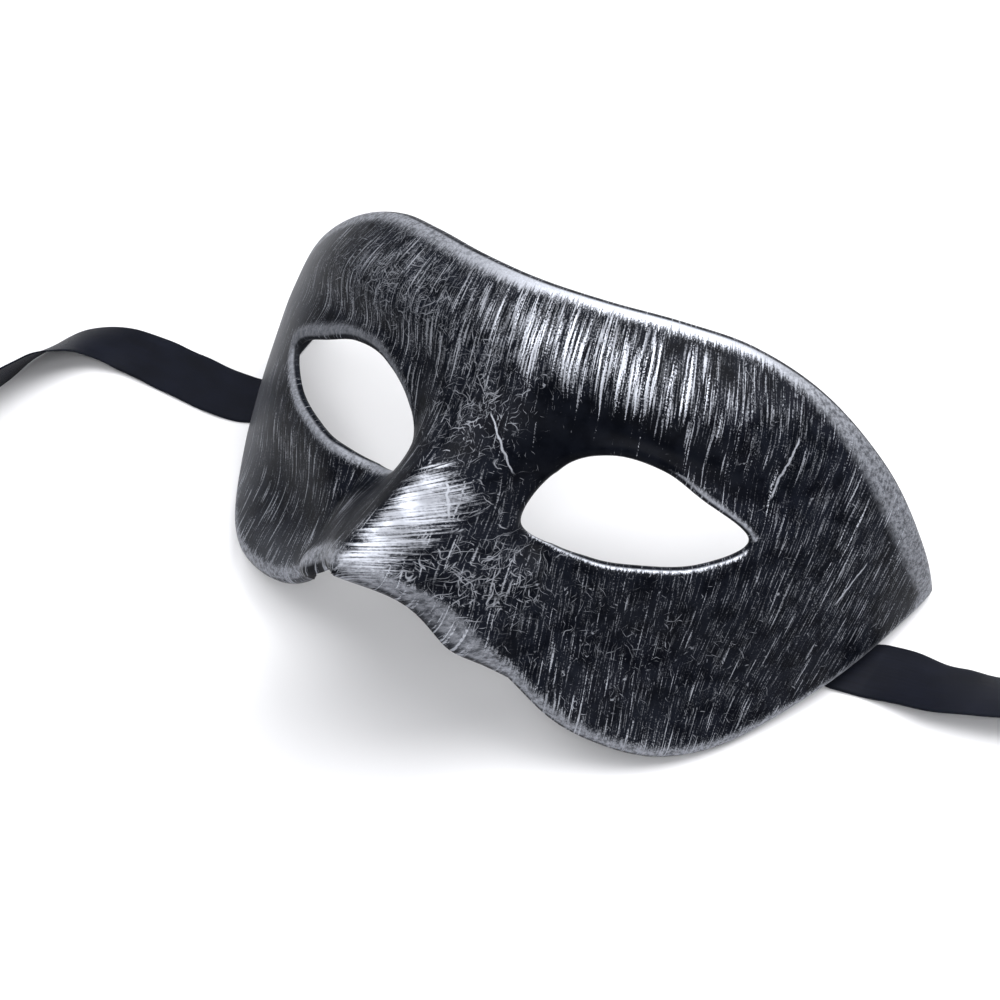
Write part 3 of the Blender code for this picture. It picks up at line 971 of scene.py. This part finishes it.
    def dress(self, places: np.ndarray, edge_mm: np.ndarray, eye_mm: np.ndarray) -> dict[str, np.ndarray]:
        """Say how much paint of each kind lies where.

        Args:
            places: pattern places of both halves, in millimetres.
            edge_mm: each place's distance to the outer edge.
            eye_mm: its distance to the eye hole.

        Returns:
            The point attributes, by name.
        """
        u, v = places[:, 0], places[:, 1]
        upper = np.array(self.UPPER_EDGE) * (self.temple_reach * MM, self.brow_height * MM)
        top_mm = np.interp(np.abs(u), upper[:, 0], upper[:, 1])
        plan = PaintPlan()
        return {
            "pattern_place": np.column_stack([u, v, 0 * u]),
            "rim_gap": edge_mm,
            "lip_gap": eye_mm,
            **plan.strokes(u, v, edge_mm, top_mm),
            **plan.bands(u, v, math.tan(math.radians(self.eye_slant_deg))),
            **plan.directions(u, v),
        }

    def skin(self) -> bpy.types.Mesh:
        """Make the outer face of both halves as it lies on the table, with its paint's attributes.

        Returns:
            The mesh.
        """
        grid, edge, hole = self.spokes()
        places = grid.reshape(-1, 2)
        edge_gap, eye_gap = line_distance(places, edge), line_distance(places, hole)
        depth = self.rolled(edge_gap, self.rim_radius) + self.rolled(eye_gap, self.lip_radius)
        points = self.face(places) - self.normals(places) * depth[:, None]
        on_centre = places[:, 0] == 0
        points[on_centre, 0] = 0.0

        doubled = ~on_centre
        left_number = np.arange(len(places))
        left_number[doubled] = len(places) + np.arange(doubled.sum())
        both_places = np.vstack([places, places[doubled] * (-1, 1)])
        both_points = np.vstack([points, points[doubled] * (-1, 1, 1)])
        index = np.arange(len(places)).reshape(grid.shape[:2])
        quads = quads_between(index, np.roll(index, -1, axis=0))
        faces = np.vstack([quads, left_number[quads][:, ::-1]])

        mesh = bpy.data.meshes.new("mask_shell_skin")
        mesh.from_pydata(both_points.tolist(), [], faces.tolist())
        pitch = Matrix.Rotation(-math.radians(self.pitch_deg), 4, "X")
        mesh.transform(Matrix.Translation(self.rest_place) @ pitch)
        mesh.shade_smooth()
        edge_both = np.concatenate([edge_gap, edge_gap[doubled]]) * MM
        eye_both = np.concatenate([eye_gap, eye_gap[doubled]]) * MM
        for name, values in self.dress(both_places * MM, edge_both, eye_both).items():
            write_attribute(mesh, name, values)
        return mesh

    def build(self, finish: BrushedPlastic) -> bpy.types.Object:
        """Build the whole shell and dress it.

        Args:
            finish: its plastic and paint.

        Returns:
            The shell.
        """
        mesh = self.skin()
        for material in (finish.outside(), finish.inside()):
            mesh.materials.append(material)
        shell = bpy.data.objects.new("mask_shell_skin", mesh)
        bpy.context.scene.collection.objects.link(shell)
        wall = shell.modifiers.new("wall", "SOLIDIFY")
        wall.thickness = self.wall
        wall.offset = -1
        wall.material_offset = 1
        wall.material_offset_rim = 1
        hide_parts("mask_shell")
        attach(shell, ROOT)
        LOG.info("mask_shell_skin: %d faces before its wall", len(mesh.polygons))
        return shell


def write_attribute(mesh: bpy.types.Mesh, name: str, values: np.ndarray) -> None:
    """Store numbers or places on the mesh's points.

    Args:
        mesh: the mesh.
        name: the attribute's name.
        values: one number or one row of three for each point.
    """
    vector = values.ndim == 2
    kind, key = ("FLOAT_VECTOR", "vector") if vector else ("FLOAT", "value")
    mesh.attributes.new(name, kind, "POINT").data.foreach_set(key, values.astype(np.float32).ravel())


@dataclass
class RibbonTie:
    """One flat satin tie, from its fixed end inside the temple to its cut end on the table."""

    name: str
    side: Side
    free_stretch: Sequence[tuple[float, ...]]
    width: float = 0.0150
    cad_thickness: float = 0.0010
    thickness: float = 0.00040
    rim: float = 0.0791350
    span_steps: int = 12
    strips: int = 24
    crown: float = 0.00030
    ripple: float = 0.00012
    ripple_rate: float = 520.0
    path_step: int = 3

    # out from the rim, back, lift of the lower edge, turn of the width, lean of the width
    HIDDEN = (
        (-0.0094, 0.0185, 0.0240, 62, 0), (-0.0072, 0.0185, 0.0180, 66, 0), (-0.0055, 0.0185, 0.0120, 69, 0),
        (-0.0038, 0.0185, 0.0080, 70, 0), (-0.0032, 0.0185, 0.0036, 70, 0), (-0.0020, 0.0185, 0.0008, 72, 0),
        (0.0005, 0.0185, 0.0, 76, 0),
    )
    RIGHT = (
        (0.0055, 0.0200, 0.0, 86, 0), (0.0115, 0.0210, 0.0, 92, -5), (0.0190, 0.0216, 0.0, 96, -14),
        (0.0245, 0.0230, 0.0, 102, -19), (0.0305, 0.0248, 0.0, 108, -25), (0.0385, 0.0280, 0.0, 113, -30),
        (0.0455, 0.0314, 0.0, 116, -30), (0.0530, 0.0350, 0.0, 116, -24), (0.0610, 0.0386, 0.0, 114, -16),
    )
    LEFT = (
        (0.0060, 0.0162, 0.0, 84, 0), (0.0140, 0.0151, 0.0, 90, 0), (0.0280, 0.0151, 0.0, 90, 0),
        (0.0420, 0.0149, 0.0, 90, -3), (0.0515, 0.0130, 0.0, 68, -12), (0.0563, 0.0100, 0.0, 56, -21),
        (0.0590, 0.0060, 0.0, 44, -31), (0.0608, 0.0018, 0.0, 34, -40), (0.0623, -0.0027, 0.0, 25, -47),
        (0.0632, -0.0075, 0.0, 15, -53), (0.0640, -0.0130, 0.0, 8, -57), (0.0646, -0.0205, 0.0, 4, -60),
        (0.0650, -0.0280, 0.0, 2, -62),
    )

    def stations(self) -> tuple[np.ndarray, np.ndarray]:
        """Return the ribbon's centres and width directions, one a row."""
        rows = catmull_rom(np.array(self.HIDDEN + tuple(self.free_stretch)), self.span_steps)
        out, back, lift = rows[:, 0], rows[:, 1], np.maximum(rows[:, 2], 0)
        turn, lean = np.radians(rows[:, 3]), np.radians(rows[:, 4])
        half_height = self.width / 2 * np.abs(np.sin(lean)) + self.cad_thickness / 2 * np.cos(lean)
        centres = np.stack([self.side.value * (self.rim + out), back, lift + half_height], axis=1)
        widths = (self.side.value * np.cos(lean) * np.cos(turn), np.cos(lean) * np.sin(turn), np.sin(lean))
        return centres, np.stack(widths, axis=1)

    def strip(self, centres: np.ndarray, widths: np.ndarray, run: np.ndarray) -> bpy.types.Mesh:
        """Make the crowned strip, with the coordinates of its weave.

        Args:
            centres: the ribbon's centres, one a row.
            widths: its width directions.
            run: the length from its fixed end to each centre.

        Returns:
            The mesh.
        """
        ups = np.cross(np.gradient(centres, axis=0), widths)
        ups /= np.linalg.norm(ups, axis=1)[:, None]
        ups *= np.where(ups[:, 2:] < 0, -1, 1)
        share = np.linspace(-1, 1, self.strips + 1)
        ripple = self.ripple * np.sin(run * self.ripple_rate)[:, None] * np.abs(share) ** 3
        lift = self.crown * (1 - share**2) + ripple
        sideways = widths[:, None] * (share[:, None] * self.width / 2)
        points = centres[:, None] + sideways + ups[:, None] * lift[:, :, None]
        points[:, :, 2] = np.maximum(points[:, :, 2], self.thickness / 2)
        rows, columns = points.shape[:2]
        index = np.arange(rows * columns).reshape(rows, columns)
        mesh = bpy.data.meshes.new(self.name)
        mesh.from_pydata(points.reshape(-1, 3).tolist(), [], quads_between(index[:-1], index[1:]).tolist())
        mesh.shade_smooth()
        across = np.broadcast_to(share * self.width / 2 * MM, (rows, columns))
        along = np.broadcast_to(run[:, None] * MM, (rows, columns))
        edge = self.width / 2 * MM - np.abs(across)
        write_attribute(mesh, "ribbon_place", np.stack([along, across, edge], axis=2).reshape(-1, 3))
        return mesh

    def build(self, material: bpy.types.Material) -> bpy.types.Object:
        """Build the tie as a thin crowned strip with selvage edges.

        Args:
            material: its satin.

        Returns:
            The tie.
        """
        centres, widths = self.stations()
        run = np.concatenate([[0], np.cumsum(np.linalg.norm(np.diff(centres, axis=0), axis=1))])
        mesh = self.strip(centres, widths, run)
        mesh.materials.append(material)
        tie = bpy.data.objects.new(self.name, mesh)
        bpy.context.scene.collection.objects.link(tie)
        cloth = tie.modifiers.new("cloth", "SOLIDIFY")
        cloth.thickness = self.thickness
        cloth.offset = 0
        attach(tie, ROOT)
        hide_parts(self.name.replace("_satin", ""))
        LOG.info("%s: %.1f mm long", self.name, run[-1] * MM)
        return tie


@dataclass
class Studio:
    """The pale table, the soft lights and the camera."""

    eye_place: tuple[float, float, float] = (0.13739, -0.16391, 0.29152)
    look: tuple[float, float, float] = (-0.39632, 0.49053, -0.77609)
    right: tuple[float, float, float] = (0.83572, 0.54273, -0.08373)
    picture_pixels: float = 1000.0
    focal_pixels: float = 1578.67
    table_size: float = 6.0
    world_colour: Colour = (0.95, 0.97, 1.0)
    world_strength: float = 0.30

    # name, place, side, watts
    LIGHTS = (
        ("brow_softbox", (0.34, 0.50, 0.80), 0.70, 8.2),
        ("overhead_softbox", (-0.1, 0.05, 1.1), 0.9, 7.6),
        ("front_fill", (0.36, -0.45, 0.76), 0.35, 2.6),
    )

    def place_camera(self) -> None:
        """Put the camera where the photograph was taken from."""
        data = bpy.data.cameras.new("photo_camera")
        data.sensor_fit = "HORIZONTAL"
        data.lens = data.sensor_width * self.focal_pixels / self.picture_pixels
        data.clip_start = 0.01
        camera = bpy.data.objects.new("photo_camera", data)
        look, right = Vector(self.look).normalized(), Vector(self.right)
        right = (right - look * right.dot(look)).normalized()
        up = right.cross(look)
        turned = Matrix((right, up, -look)).transposed()
        camera.matrix_world = Matrix.Translation(self.eye_place) @ turned.to_4x4()
        bpy.context.scene.collection.objects.link(camera)
        bpy.context.scene.camera = camera

    def lay_table(self) -> None:
        """Lay the pale table top under the mask."""
        half = self.table_size / 2
        mesh = bpy.data.meshes.new("table_top")
        corners = [(-half, -half, 0), (half, -half, 0), (half, half, 0), (-half, half, 0)]
        mesh.from_pydata(corners, [], [(0, 1, 2, 3)])
        mesh.materials.append(PaleTable().material())
        table = bpy.data.objects.new("table_top", mesh)
        bpy.context.scene.collection.objects.link(table)

    def hang_light(self, name: str, place: tuple[float, float, float], size: float, watts: float) -> None:
        """Hang one square soft light that faces the mask.

        Args:
            name: the light's name.
            place: where it hangs, in metres.
            size: its side, in metres.
            watts: its power.
        """
        data = bpy.data.lights.new(name, "AREA")
        data.size = size
        data.energy = watts
        light = bpy.data.objects.new(name, data)
        turned = Vector(place).to_track_quat("Z", "Y").to_matrix().to_4x4()
        light.matrix_world = Matrix.Translation(place) @ turned
        bpy.context.scene.collection.objects.link(light)

    def light(self) -> None:
        """Light the table evenly, with the main light above the brow."""
        for name, place, size, watts in self.LIGHTS:
            self.hang_light(name, place, size, watts)
        world = bpy.data.worlds.new("bright_room")
        world.use_nodes = True
        backing = world.node_tree.nodes["Background"]
        backing.inputs["Color"].default_value = _with_alpha(self.world_colour)
        backing.inputs["Strength"].default_value = self.world_strength
        bpy.context.scene.world = world
        bpy.context.scene.view_settings.view_transform = "Standard"


def main() -> None:
    """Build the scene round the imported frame."""
    logging.basicConfig(level=logging.INFO, format="%(name)s: %(message)s")
    studio = Studio()
    studio.place_camera()
    satin = BlackSatin().material()
    RibbonTie("ribbon_right_satin", Side.RIGHT, RibbonTie.RIGHT).build(satin)
    RibbonTie("ribbon_left_satin", Side.LEFT, RibbonTie.LEFT).build(satin)
    MaskShell().build(BrushedPlastic())
    studio.lay_table()
    studio.light()


if __name__ == "__main__":
    main()
